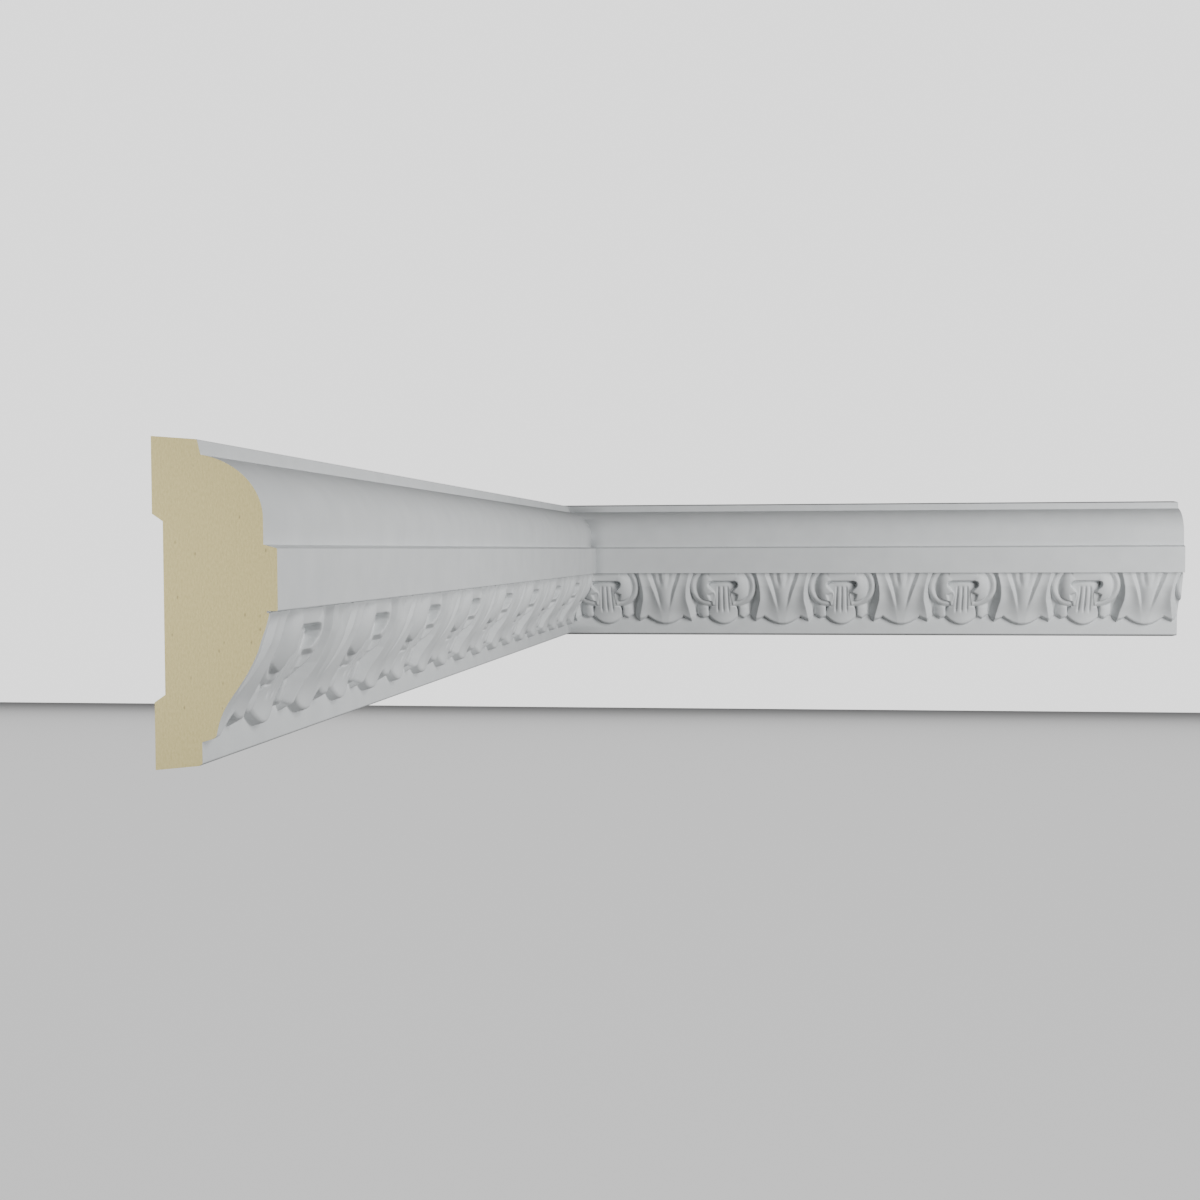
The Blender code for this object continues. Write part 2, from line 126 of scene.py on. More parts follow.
# Leaf, at the given heights. Places run from its centre line, and levels are shares of RELIEF over the ogee
LEAF_LEVELS = (12.0, 17.0, 23.0, 29.0, 35.0, 41.0, 47.0, 51.0)
GROOVE_LINE = (1.5, 2.0, 3.6, 4.7, 5.9, 7.5, 9.4, 10.8)
GROOVE_DEEP = (0.0, 0.0, 0.06, 0.21, 0.28, 0.31, 0.39, 0.36)
LIP_LINE = (3.0, 4.0, 5.2, 6.9, 8.7, 10.8, 13.0, 14.2)
LIP_LEVEL = (0.0, -0.02, -0.04, -0.02, 0.0, -0.02, -0.14, -0.18)
RIDGE_LINE = (22.4, 21.4, 20.0, 18.5, 18.4, 19.1, 20.4, 21.6)
RIDGE_LEVEL = (0.06, 0.10, 0.11, 0.03, 0.0, 0.02, -0.06, -0.10)
HOLLOW_DEEP = (0.20, 0.25, 0.26, 0.27, 0.25, 0.14, 0.09, 0.08)
SHORT_LEVELS = (38.5, 41.0, 44.0, 47.0, 51.0)
SHORT_LINE = (2.6, 2.7, 3.3, 4.0, 4.4)
SHORT_DEEP = (0.0, 0.07, 0.16, 0.20, 0.20)
SHORT_WIDTH = 2.8
FLANK_LEVELS = (14.0, 28.0, 40.0, 51.0)
FLANK_WIDTH = (5.2, 5.6, 3.4, 4.2)
VALLEY_LEVELS = (17.0, 26.0, 29.0, 33.0, 37.0, 44.0, 50.0)
VALLEY = (-1.0, -1.2, -1.15, -1.0, -0.90, -0.85, -0.80)

# Scroll, in the same units
BUD_LEVELS = (13.0, 18.0, 22.0, 25.5)
BUD_CROWN = (-0.16, -0.20, -0.36, -0.66)
BUD_OUTER_FALL = 0.46
BUD_OUTER_WIDTH = 6.4
BUD_INNER_FALL = 0.20
BUD_INNER_WIDTH = 3.0
PENDANT_LEVELS = (12.0, 22.0, 34.0, 45.0)
PENDANT_CROWN = (-0.02, -0.16, -0.32, -0.50)
PENDANT_FALL = (0.46, 0.41, 0.40, 0.40)
FLUTE_LINE = (4.8, 4.5, 4.1, 3.7)
FLUTE_WIDTH = 1.2
FLUTE_DEEP = 0.26
FLUTE_FOOT = 17.0
FLUTE_FOOT_FADE = 5.0
FLUTE_HEAD = 41.5
FLUTE_HEAD_FADE = 3.0
RING_LEVEL = -0.62
RING_RISE = 0.22
RING_LINE = 15.3
RING_WIDTH = 2.4
DOME_LEVEL = 0.16
DOME_FALL = 1.10
DOME_CENTRE = (12.5, 39.0)
DOME_WIDTH = 10.3
DOME_HEIGHT = 19.0
DOME_POWER = 1.3
BAR_LEVEL = -0.04
BAR_END = 11.0
BAR_FALL = 0.10
BAR_REACH = 3.0
CURL_LEVELS = (24.5, 28.0, 34.0)
CURL_LEVEL = (-0.14, -0.28, -0.36)
SLOT_DEEP = 0.30
SLOT_WIDTH = 0.9
SLOT_FOOT = 40.0
SLOT_FADE = 3.0
WALL = 1.0
CURL_WALL = 2.0
FLOOR_COVER = 0.1
WINDOW = [(-5.0, BAR_FOOT), (9.6, BAR_FOOT), (11.8, BAR_FOOT - 0.8), (12.6, BAR_FOOT - 2.6),
          (12.0, BAR_FOOT - 4.8), (7.2, 35.6), (6.6, 33.4), (7.0, 28.0), (8.6, 23.6), (-5.0, 23.6)]
CURL = [(7.2, 35.6), (12.4, 33.4), (11.2, 29.6), (8.8, 24.4), (7.6, 24.6), (6.8, 29.0)]
PENDANT = [(-5.0, 46.0), (10.4, 46.0), (9.0, 38.0), (7.0, 33.0), (8.0, 27.0), (11.6, 22.0),
           (12.7, 18.0), (13.1, 12.0), (13.1, 4.0), (-5.0, 4.0)]
BUD = [(12.9, 4.0), (12.9, 26.0), (22.2, 28.0), (22.2, 4.0)]

# Lower edge of the carving: rise of its front arris over its root
ARRIS_RISE = 1.1
TIP_RISE = 1.5
TIP_SPREAD = 3.5
NOTCH_FALL = 0.5
NOTCH_SPREAD = 2.0

# Origin, half way up the flat above the recess, and the open joint at the mitre
ORIGIN_HEIGHT = (RECESS_TOP + TOP_HEIGHT + TOP_FALL) / 2
MITRE_GAP = 0.00004

# Finish of the cast surface: keener leaf grooves, the carving's rounded lower arris, and rounded edges
KEEN = 1.3
ARRIS_ROUND = 1.6
ARRIS_FULLNESS = 0.96
EDGE_ROUND = 0.0004
ROUNDING_POINTS = 4

# Turn of the carving's lower edge back to the fillet: shares of the way back and of the way down
SKIRT_STEPS = ((0.10, 0.16), (0.45, 0.52), (0.86, 0.90), (0.97, 0.985))
CREASE = 0.0003
FILLET_SEAM = 0.0035

# Undercut shadow line between the carving's top and the fascia
SHEET_TOP = TOP - 0.4
UNDERCUT = 0.0009
FASCIA_RETURN = 0.0012

# Fineness: the height map of the carving, the sheet read from it, and the same sheet simplified
MAP_STEP = 0.20
MAP_MARGIN = 3.0
SOFTEN = 0.22
BELL_REACH = 3
LAST_CELL = 1.001
COLUMNS = 150
ROWS = 150
ROW_CROWDING = 1.15
LEAN_STEP = 0.1
HALF_REPEAT_TRIANGLES = 9600
SUPPORT = 0.00025
OVOLO_SEGMENTS = 28
SMOOTH_ANGLE = 62.0
MILLIMETRE = 0.001

# Slack in finding borders, in the carving's units, and in telling places apart, in metres
BORDER_SNAP = 0.15
SCALLOP_CEILING = NOTCH_HEIGHT + 3.0
SCALLOP_SLACK = 0.0002
BACK_SLACK = 0.0001
WELD = 1e-5
ON_PLANE = 1e-5
NEAR = 1e-6
CUT_SLACK = 1e-7
FAR = 1e9

# Camera: lens and place worked out from the photograph's perspective
FRAME_PIXELS = 1200
FOCAL_PIXELS = 1606.71
CENTRE_ROW = 615.354
SENSOR = 36.0
CAMERA_PLACE = (0.21946, -0.96352, -0.02594)
CAMERA_YAW = 0.1263
CAMERA_PITCH = 0.0408
CAMERA_ROLL = -0.0037
CAMERA_NEAR = 0.01

# Paint and foam: darker and paler tints, and the colour of the foam's pits
PAINT_DARK = (0.700, 0.720, 0.726, 1.0)
PAINT_PALE = (0.750, 0.770, 0.776, 1.0)
FOAM_DARK = (0.66, 0.565, 0.255, 1.0)
FOAM_PALE = (0.78, 0.675, 0.325, 1.0)
FOAM_PIT = (0.47, 0.39, 0.19, 1.0)
BLACK = (0.0, 0.0, 0.0, 1.0)
WHITE = (1.0, 1.0, 1.0, 1.0)
GRAIN_STRETCH = (1.0, 1.0, 0.5)
BUMP_DEPTH = 0.0004

# Studio: a pale floor that casts little light, a bright backdrop and a dim surround
FLOOR_SIZE = 36.0
FLOOR_PLACE = (0.0, 5.0, -2.40)
FLOOR_SEEN = (0.85, 0.85, 0.85, 1.0)
FLOOR_CAST = (0.08, 0.08, 0.08, 1.0)
BACKDROP_STRENGTH = 1.8
SURROUND_COLOR = (0.93, 0.97, 1.0, 1.0)
SURROUND_STRENGTH = 0.02

# Lights: name, place, target, size in metres, power in watts and spread in degrees
LIGHTS = (("near_light", (1.0, -0.30, -0.05), (0.3, 0.3, -0.04), 0.4, 8.4, 180.0),
          ("high_light", (1.0, -0.8, 0.6), (0.3, 0.3, -0.04), 0.5, 8.6, 180.0),
          ("end_light", (-0.55, -0.78, 0.06), (0.022, -0.441, -0.04), 0.15, 0.38, 36.0),
          ("back_light", (-1.6, 1.2, 0.3), (0.0, 0.3, -0.04), 0.8, 20.0, 180.0),
          ("floor_light", (0.0, 5.0, -1.2), (0.0, 5.0, -2.4), 34.0, 3600.0, 180.0))


def blend(low, high, share):
    """Value between low and high, at a share from 0 to 1."""
    return low + (high - low) * np.clip(share, 0.0, 1.0)


def ease(share):
    """Smooth step from 0 to 1."""
    share = np.clip(share, 0.0, 1.0)
    return share * share * (3.0 - 2.0 * share)


def groove(offset, half_width):
    """V-shaped cut: 1 on its line, 0 beyond its half width."""
    return np.clip(1.0 - np.abs(offset) / half_width, 0.0, 1.0)


def edge_distance(a, z, outline):
    """Distance from a closed outline, positive inside it."""
    nearest = np.full(np.broadcast(a, z).shape, FAR)
    inside = np.zeros(nearest.shape, dtype=bool)
    for (a0, z0), (a1, z1) in zip(outline, outline[1:] + outline[:1]):
        da, dz = a1 - a0, z1 - z0
        share = np.clip(((a - a0) * da + (z - z0) * dz) / (da * da + dz * dz), 0.0, 1.0)
        nearest = np.minimum(nearest, np.hypot(a - a0 - share * da, z - z0 - share * dz))
        if dz:
            inside ^= ((z0 > z) != (z1 > z)) & (a < a0 + (z - z0) * da / dz)
    return np.where(inside, nearest, -nearest)


def ogee_depth(z):
    """Distance from the wall to the plain ogee behind the carving, in metres."""
    share = (np.clip(z, FOOT, TOP) - FOOT) / (TOP - FOOT)
    foot, top = FILLET_DEPTH + LOBE_PROUD, BAND_TOP_DEPTH
    steps = np.linspace(0.0, 1.0, OGEE_STEPS)
    low, high = 3 * (1.0 - steps) ** 2 * steps, 3 * (1.0 - steps) * steps ** 2
    rises, reaches = (low * low_handle + high * high_handle + steps ** 3
                      for low_handle, high_handle in zip(OGEE_LOW_HANDLE, OGEE_HIGH_HANDLE))
    return foot + (top - foot) * np.interp(share, rises, reaches)


def valley_level(z):
    """Height of the cut between the scrolls and the leaves."""
    return np.interp(z, VALLEY_LEVELS, VALLEY)


def leaf_relief(v, z):
    """Leaf, v from its centre: a rounded rib, a groove, a lip, a hollow side and a ridge along its edge."""
    line, deep, lip, lip_height, ridge, ridge_height, hollow = (
        np.interp(z, LEAF_LEVELS, row) for row in (GROOVE_LINE, GROOVE_DEEP, LIP_LINE, LIP_LEVEL,
                                                   RIDGE_LINE, RIDGE_LEVEL, HOLLOW_DEEP))
    side = np.clip((v - lip) / (ridge - lip), 0.0, 1.0)
    outer = blend(lip_height, ridge_height, side) - hollow * np.sin(math.pi * side)
    deep = deep * KEEN
    wall = blend(-deep, lip_height, (v - line) / (lip - line))
    rib = -deep * (v / line) ** 2
    short, short_deep = np.interp(z, SHORT_LEVELS, SHORT_LINE), np.interp(z, SHORT_LEVELS, SHORT_DEEP)
    rib = rib - short_deep * groove(v - short, SHORT_WIDTH)
    height = np.where(v < line, rib, np.where(v < lip, wall, outer))
    return blend(height, valley_level(z), (v - ridge) / np.interp(z, FLANK_LEVELS, FLANK_WIDTH))


def bud_relief(a, z):
    """Barrel-shaped bud under each ear of the scroll."""
    outer = BUD_OUTER_FALL * ((a - BUD_CREST) / BUD_OUTER_WIDTH) ** 2
    inner = BUD_INNER_FALL * ((a - BUD_CREST) / BUD_INNER_WIDTH) ** 2
    return np.interp(z, BUD_LEVELS, BUD_CROWN) - np.where(a > BUD_CREST, outer, inner)


def pendant_relief(a, z):
    """Fluted tongue between the ears, which ends in a lobe."""
    line, crown, fall = (np.interp(z, PENDANT_LEVELS, row)
                         for row in (FLUTE_LINE, PENDANT_CROWN, PENDANT_FALL))
    flutes = groove(a, FLUTE_WIDTH) + groove(a - line, FLUTE_WIDTH)
    fade = ease((FLUTE_HEAD - z) / FLUTE_HEAD_FADE) * ease((z - FLUTE_FOOT) / FLUTE_FOOT_FADE)
    return crown - FLUTE_DEEP * fade * flutes - fall * (a / PENDANT_LOBE) ** 2


def ear_relief(a, z):
    """Domed ear of the scroll inside its ring, and the bar that joins the two ears."""
    r = np.hypot(a - EAR_CENTRE, z - EAR_HEIGHT)
    ring = RING_LEVEL + RING_RISE * np.sqrt(groove(r - RING_LINE, RING_WIDTH))
    across, up = (a - DOME_CENTRE[0]) / DOME_WIDTH, (z - DOME_CENTRE[1]) / DOME_HEIGHT
    dome = np.maximum(DOME_LEVEL - DOME_FALL * (across ** 2 + up ** 2) ** DOME_POWER, RING_LEVEL)
    bar = BAR_LEVEL - BAR_FALL * np.clip(a - BAR_END, 0.0, None)
    ear = np.where(r < RING_RADIUS, dome, ring)
    return np.where(z > BAR_FOOT - BAR_REACH, np.maximum(ear, bar), ear)


def layer(height, cover, distance, wall):
    """Lays cover over height inside an outline, with a steep wall of the given width."""
    return height + (cover - height) * ease(0.5 + distance / wall)


def carving(a, z):
    """Distance from the wall to the carved front, at a from a scroll's centre and height z."""
    height = leaf_relief(HALF - a, z)
    height = layer(height, bud_relief(a, z), edge_distance(a, z, BUD), WALL)
    height = layer(height, pendant_relief(a, z), edge_distance(a, z, PENDANT), WALL)
    r = np.hypot(a - EAR_CENTRE, z - EAR_HEIGHT)
    height = layer(height, ear_relief(a, z), EAR_RADIUS - r, WALL)
    height = layer(height, np.interp(z, CURL_LEVELS, CURL_LEVEL), edge_distance(a, z, CURL), CURL_WALL)
    slot = edge_distance(a, z, WINDOW)
    height = layer(height, pendant_relief(a, z), slot, WALL)
    cut_in = groove(slot - SLOT_WIDTH, SLOT_WIDTH) * ease((z - SLOT_FOOT) / SLOT_FADE)
    height = height - SLOT_DEEP * cut_in
    return np.maximum(ogee_depth(z) + RELIEF * height, FILLET_DEPTH + FLOOR_COVER * RELIEF)


def scallop_root(a):
    """Height at which the carving's lower edge meets the plain fillet."""
    v = HALF - a
    pendant = FOOT + (CUSP_HEIGHT - FOOT) * (a / PENDANT_LOBE) ** 2
    leaf = FOOT + (CUSP_HEIGHT - FOOT) * (v / LEAF_LOBE) ** 2
    between = np.interp(a, (PENDANT_LOBE, BUD_CENTRE, BUD_EDGE, HALF - LEAF_TIP, HALF - LEAF_LOBE),
                        (CUSP_HEIGHT, BUD_HEIGHT, NOTCH_HEIGHT, TIP_HEIGHT, CUSP_HEIGHT))
    return np.where(a < PENDANT_LOBE, pendant, np.where(v < LEAF_LOBE, leaf, between))


def scallop_rise(a):
    """Height of the front arris over the root: the leaf's tips lean back the most."""
    tip = TIP_RISE * groove(a - (HALF - LEAF_TIP), TIP_SPREAD)
    return ARRIS_RISE + tip - NOTCH_FALL * groove(a - BUD_EDGE, NOTCH_SPREAD)


def scallop_foot(a):
    """Height of the front arris."""
    return scallop_root(a) + scallop_rise(a)


def real_x(a):
    """Length along the run, in metres, of a side-to-side size of the carving."""
    return a * REPEAT / WIDTH


def real_z(z):
    """Height in metres of a height of the carving."""
    return LOBE_FOOT + (z - FOOT) * (BAND_TOP - LOBE_FOOT) / (TOP - FOOT)


def softened(heights, spread):
    """Grid of values, blurred by a bell curve in both directions."""
    reach = math.ceil(BELL_REACH * spread)
    bell = np.exp(-0.5 * (np.arange(-reach, reach + 1) / spread) ** 2)
    bell /= bell.sum()
    for axis in (0, 1):
        wide = np.apply_along_axis(lambda line: np.pad(line, reach, mode="edge"), axis, heights)
        heights = np.apply_along_axis(lambda line: np.convolve(line, bell, mode="valid"), axis, wide)
    return heights


def carved_map():
    """Fine map of the carving's height over the plain ogee, softened as paint and casting soften it."""
    across = np.arange(-MAP_MARGIN, HALF + MAP_MARGIN, MAP_STEP)
    up = np.arange(0.0, TOP + MAP_MARGIN, MAP_STEP)
    a, z = np.meshgrid(HALF - np.abs(HALF - np.abs(across)), up)
    relief = carving(a, z) - ogee_depth(z)
    return across, up, softened(relief, SOFTEN / MAP_STEP)


def read_map(chart, a, z):
    """Values of a map between its grid points."""
    across, up, values = chart
    column = np.clip((a - across[0]) / MAP_STEP, 0, len(across) - LAST_CELL)
    row = np.clip((z - up[0]) / MAP_STEP, 0, len(up) - LAST_CELL)
    i, j = column.astype(int), row.astype(int)
    s, t = column - i, row - j
    low = values[j, i] * (1 - s) + values[j, i + 1] * s
    high = values[j + 1, i] * (1 - s) + values[j + 1, i + 1] * s
    return low * (1 - t) + high * t


def half_repeat_sheet():
    """Half a repeat of the carving, from a scroll's centre to a leaf's, as an open sheet."""
    chart = carved_map()
    bm = bmesh.new()
    bmesh.ops.create_grid(bm, x_segments=COLUMNS, y_segments=ROWS, size=0.5)
    across = np.array([vert.co.x + 0.5 for vert in bm.verts]) * HALF
    share = np.array([vert.co.y + 0.5 for vert in bm.verts]) ** ROW_CROWDING
    foot = scallop_foot(across)
    height = foot + share * (SHEET_TOP - foot)
    depth = ogee_depth(height) + read_map(chart, across, height)
    lean = (scallop_foot(across + LEAN_STEP) - scallop_foot(across - LEAN_STEP)) / (2 * LEAN_STEP)
    over = np.clip(1.0 - (height - foot) / np.hypot(1.0, lean) / ARRIS_ROUND, 0.0, 1.0)
    depth = depth - MILLIMETRE * ARRIS_ROUND * (1.0 - np.sqrt(1.0 - ARRIS_FULLNESS * over ** 2))
    for vert, a, d, z in zip(bm.verts, across, depth, height):
        vert.co = (real_x(a), -d, real_z(z))
    mesh = bpy.data.meshes.new("half_repeat")
    bm.to_mesh(mesh)
    bm.free()
    sheet = bpy.data.objects.new("half_repeat", mesh)
    bpy.context.scene.collection.objects.link(sheet)
    simplify = sheet.modifiers.new("simplify", "DECIMATE")
    simplify.decimate_type = "COLLAPSE"
    simplify.ratio = HALF_REPEAT_TRIANGLES / (2 * COLUMNS * ROWS)
    simplify.use_collapse_triangulate = True
    depsgraph = bpy.context.evaluated_depsgraph_get()
    simple = bpy.data.meshes.new_from_object(sheet.evaluated_get(depsgraph))
    bpy.data.objects.remove(sheet)
    bpy.data.meshes.remove(mesh)
    return simple


def square_up(bm):
    """Puts the sheet's side and top borders back on straight lines."""
    for vert in bm.verts:
        if not vert.is_boundary:
            continue
        if vert.co.x < real_x(BORDER_SNAP):
            vert.co.x = 0.0
        elif vert.co.x > real_x(HALF - BORDER_SNAP):
            vert.co.x = real_x(HALF)
        if vert.co.z > real_z(SHEET_TOP - BORDER_SNAP):
            vert.co.z = real_z(SHEET_TOP)


def only(kind, items):
    """Items of one kind: points or faces."""
    return [item for item in items if isinstance(item, kind)]


def carved_strip(first, last):
    """Open carved sheet of whole repeats, whose scrolls are centred on first, first + 1, ... last."""
    bm = bmesh.new()
    bm.from_mesh(HALF_SHEET)
    square_up(bm)
    other = bmesh.ops.duplicate(bm, geom=bm.verts[:] + bm.edges[:] + bm.faces[:])["geom"]
    bmesh.ops.scale(bm, vec=(-1, 1, 1), verts=only(bmesh.types.BMVert, other))
    bmesh.ops.reverse_faces(bm, faces=only(bmesh.types.BMFace, other))
    bmesh.ops.remove_doubles(bm, verts=bm.verts, dist=WELD)
    one = bm.verts[:] + bm.edges[:] + bm.faces[:]
    bmesh.ops.translate(bm, vec=(FIRST_SCROLL + first * REPEAT, 0, 0), verts=bm.verts)
    for number in range(1, last - first + 1):
        copy = bmesh.ops.duplicate(bm, geom=one)["geom"]
        bmesh.ops.translate(bm, vec=(number * REPEAT, 0, 0), verts=only(bmesh.types.BMVert, copy))
    bmesh.ops.remove_doubles(bm, verts=bm.verts, dist=WELD)
    return bm


def rounded(corners):
    """Outline from corners of (depth, height, radius), with a point close to each rounding."""
    points = []
    for number, (depth, height, radius) in enumerate(corners):
        here = np.array((depth, height))
        if not radius:
            points.append(here)
            continue
        before = np.array(corners[number - 1][:2]) - here
        after = np.array(corners[number + 1][:2]) - here
        before /= np.linalg.norm(before)
        after /= np.linalg.norm(after)
        points.append(here + before * (radius + SUPPORT))
        for share in np.linspace(0.0, 1.0, ROUNDING_POINTS):
            points.append(here + radius * (before * (1.0 - share) ** 2 + after * share ** 2))
        points.append(here + after * (radius + SUPPORT))
    return points


def plain_outline():
    """Section from under the fascia over the top, down the back and up to the front fillet."""
    start = math.acos((LIP_DEPTH - OVOLO_CENTRE_DEPTH) / OVOLO_REACH)
    rise = OVOLO_RISE / math.sin(start)
    corners = [(FASCIA_DEPTH - FASCIA_RETURN, FASCIA_BOTTOM, 0.0),
               (FASCIA_DEPTH, FASCIA_BOTTOM, EDGE_ROUND),
               (FASCIA_DEPTH, FASCIA_TOP, EDGE_ROUND),
               (OVOLO_DEPTH, OVOLO_FOOT_HEIGHT, 0.0)]
    for step in range(OVOLO_SEGMENTS):
        turn = start * step / OVOLO_SEGMENTS
        depth = OVOLO_CENTRE_DEPTH + OVOLO_REACH * math.cos(turn)
        corners.append((depth, OVOLO_CENTRE_HEIGHT + rise * math.sin(turn), 0.0))
    corners += [(LIP_DEPTH, LIP_FOOT_HEIGHT, 0.0),
                (TOP_DEPTH, TOP_HEIGHT, EDGE_ROUND),
                (0.0, TOP_HEIGHT + TOP_FALL, 0.0),
                (0.0, RECESS_TOP, 0.0),
                (RECESS_DEPTH, RECESS_TOP - RECESS_SLOPE, 0.0),
                (RECESS_DEPTH, RECESS_BOTTOM + RECESS_SLOPE, 0.0),
                (0.0, RECESS_BOTTOM, 0.0),
                (0.0, -UNDERSIDE_FALL, 0.0),
                (FILLET_DEPTH - FOOT_BEVEL, -BEVEL_RISE, 0.0),
                (FILLET_DEPTH, 0.0, EDGE_ROUND),
                (FILLET_DEPTH, FILLET_SEAM, 0.0)]
    return rounded(corners)


def band(bm, row, copy):
    """Faces between two rows with as many points each."""
    for one, two, three, four in zip(row, row[1:], copy[1:], copy):
        bm.faces.new((one, two, three, four))


def moved_row(bm, row, place):
    """Copy of a row of points, each put where place says, joined to the row by a band of faces."""
    copy = [bm.verts.new(place(vert.co)) for vert in row]
    band(bm, row, copy)
    return copy


def from_scroll(x):
    """Distance of a place along a run from the nearest scroll's centre, in hundredths of a repeat."""
    share = (x - FIRST_SCROLL) / REPEAT % 1.0
    return min(share, 1.0 - share) * WIDTH


def root_height(x):
    """Height in metres of the carving's root on the fillet, at a place along a run."""
    return real_z(float(scallop_root(from_scroll(x))))


def skirt(bm, row):
    """Turns the sheet's lower edge back to the fillet, and returns the row on the fillet's face."""
    start = row
    for back, down in SKIRT_STEPS:
        copy = []
        for vert in start:
            x, y, z = vert.co
            copy.append(bm.verts.new((x, y + back * (-FILLET_DEPTH - y), z + down * (root_height(x) - z))))
        band(bm, row, copy)
        row = copy
    copy = [bm.verts.new((vert.co.x, -FILLET_DEPTH, root_height(vert.co.x) - CREASE)) for vert in start]
    band(bm, row, copy)
    return moved_row(bm, copy, lambda co: (co.x, co.y, co.z - SUPPORT))


def border(bm, high):
    """Upper or lower border of the sheet, in order along the run."""
    level = real_z(SHEET_TOP) - NEAR
    found = [vert for vert in bm.verts if vert.is_boundary and (vert.co.z > level) == high]
    if not high:
        side = real_z(SCALLOP_CEILING)
        found = [vert for vert in found if vert.co.z < side and is_lower(vert)]
    return sorted(found, key=lambda vert: vert.co.x)


def is_lower(vert):
    """Whether a border point lies on the scalloped edge and not on the sheet's side above it."""
    return vert.co.z < real_z(float(scallop_foot(from_scroll(vert.co.x)))) + SCALLOP_SLACK


def joined(bm, row, coarse):
    """Flat faces between a fine row and two coarse points at each half repeat."""
    for left, right in zip(coarse, coarse[1:]):
        between = [vert for vert in row if left.co.x - NEAR < vert.co.x < right.co.x + NEAR]
        bm.faces.new([left, right] + between[::-1])


def cut(bm, place, outward):
    """Cuts the run off along a plane, closes it, and returns the new end's faces."""
    bmesh.ops.bisect_plane(bm, geom=bm.verts[:] + bm.edges[:] + bm.faces[:], dist=CUT_SLACK,
                           plane_co=place, plane_no=outward, clear_outer=True)
    plane = Vector(outward).normalized()
    rim = [edge for edge in bm.edges if edge.is_boundary
           and all(abs((vert.co - Vector(place)).dot(plane)) < ON_PLANE for vert in edge.verts)]
    return bmesh.ops.holes_fill(bm, edges=rim, sides=0)["faces"]


def run_mesh(name, length, mitre_at_start):
    """One length of moulding as a closed mesh: painted front and bare foam on its back and ends."""
    first = math.floor(-FIRST_SCROLL / REPEAT)
    last = math.ceil((length - FIRST_SCROLL) / REPEAT)
    bm = carved_strip(first, last)
    columns = [FIRST_SCROLL + (first - 0.5 + 0.5 * number) * REPEAT
               for number in range(2 * (last - first + 1) + 1)]
    upper, lower = border(bm, True), border(bm, False)
    in_line = moved_row(bm, upper, lambda co: (co.x, co.y + UNDERCUT, co.z))
    under_fascia = moved_row(bm, in_line, lambda co: (co.x, co.y, FASCIA_BOTTOM))
    on_fillet = skirt(bm, lower)
    outline = plain_outline()
    grid = [[bm.verts.new((x, -depth, height)) for x in columns] for depth, height in outline]
    back = []
    for one, two, (depth, _), (next_depth, _) in zip(grid, grid[1:], outline, outline[1:]):
        for number in range(len(columns) - 1):
            face = bm.faces.new((one[number], one[number + 1], two[number + 1], two[number]))
            if max(depth, next_depth) < RECESS_DEPTH + BACK_SLACK:
                back.append(face)
    joined(bm, under_fascia, grid[0])
    joined(bm, on_fillet, grid[-1])
    for face in back:
        face.material_index = 1
    bm.normal_update()
    bmesh.ops.triangulate(bm, faces=[face for face in bm.faces if len(face.verts) > 4])
    held_back = MITRE_GAP / 2 * math.sqrt(2)
    for face in bm.faces:
        face.smooth = True
    if mitre_at_start:
        mitre = cut(bm, (held_back, 0, 0), (-1, -1, 0))
        square = cut(bm, (length, 0, 0), (1, 0, 0))
    else:
        mitre = cut(bm, (length - held_back, 0, 0), (1, -1, 0))
        square = cut(bm, (0, 0, 0), (-1, 0, 0))
    for face in mitre + square:
        face.smooth = False
    for face in square:
        face.material_index = 1
    bmesh.ops.triangulate(bm, faces=[face for face in bm.faces if len(face.verts) > 4])
    bmesh.ops.recalc_face_normals(bm, faces=bm.faces)
    mesh = bpy.data.meshes.new(name)
    bm.to_mesh(mesh)
    bm.free()
    mesh.set_sharp_from_angle(angle=math.radians(SMOOTH_ANGLE))
    return mesh


def nodes_of(name):
    """New material, its node tree and its surface shader."""
    material = bpy.data.materials.new(name)
    material.use_nodes = True
    tree = material.node_tree
    return material, tree, tree.nodes["Principled BSDF"]


def add_noise(tree, place, scale, detail, roughness=0.5):
    """Noise at a place in the object's own space."""
    noise = tree.nodes.new("ShaderNodeTexNoise")
    noise.inputs["Scale"].default_value = scale
    noise.inputs["Detail"].default_value = detail
    noise.inputs["Roughness"].default_value = roughness
    tree.links.new(place, noise.inputs["Vector"])
    return noise.outputs["Fac"]


def add_ramp(tree, value, low, low_color, high, high_color):
    """Ramp from one colour to another between two values."""
    ramp = tree.nodes.new("ShaderNodeValToRGB")
    ends = ramp.color_ramp.elements
    ends[0].position = low
    ends[0].color = low_color
    ends[1].position = high
    ends[1].color = high_color
    tree.links.new(value, ramp.inputs["Fac"])
    return ramp.outputs["Color"]


def add_bump(tree, shader, height, strength):
    """Fine relief of the surface."""
    bump = tree.nodes.new("ShaderNodeBump")
    bump.inputs["Strength"].default_value = strength
    bump.inputs["Distance"].default_value = BUMP_DEPTH
    tree.links.new(height, bump.inputs["Height"])
    tree.links.new(bump.outputs["Normal"], shader.inputs["Normal"])


def add_sheen(shader, roughness, specular):
    """How matt the surface is, and how strongly it mirrors."""
    shader.inputs["Roughness"].default_value = roughness
    shader.inputs["Specular IOR Level"].default_value = specular


def show_or_cast(tree, seen, cast, surface):
    """Shows one shader to the eye and lights the rest of the scene with the other."""
    path = tree.nodes.new("ShaderNodeLightPath")
    either = tree.nodes.new("ShaderNodeMixShader")
    tree.links.new(path.outputs["Is Camera Ray"], either.inputs["Fac"])
    tree.links.new(cast, either.inputs[1])
    tree.links.new(seen, either.inputs[2])
    tree.links.new(either.outputs["Shader"], surface)


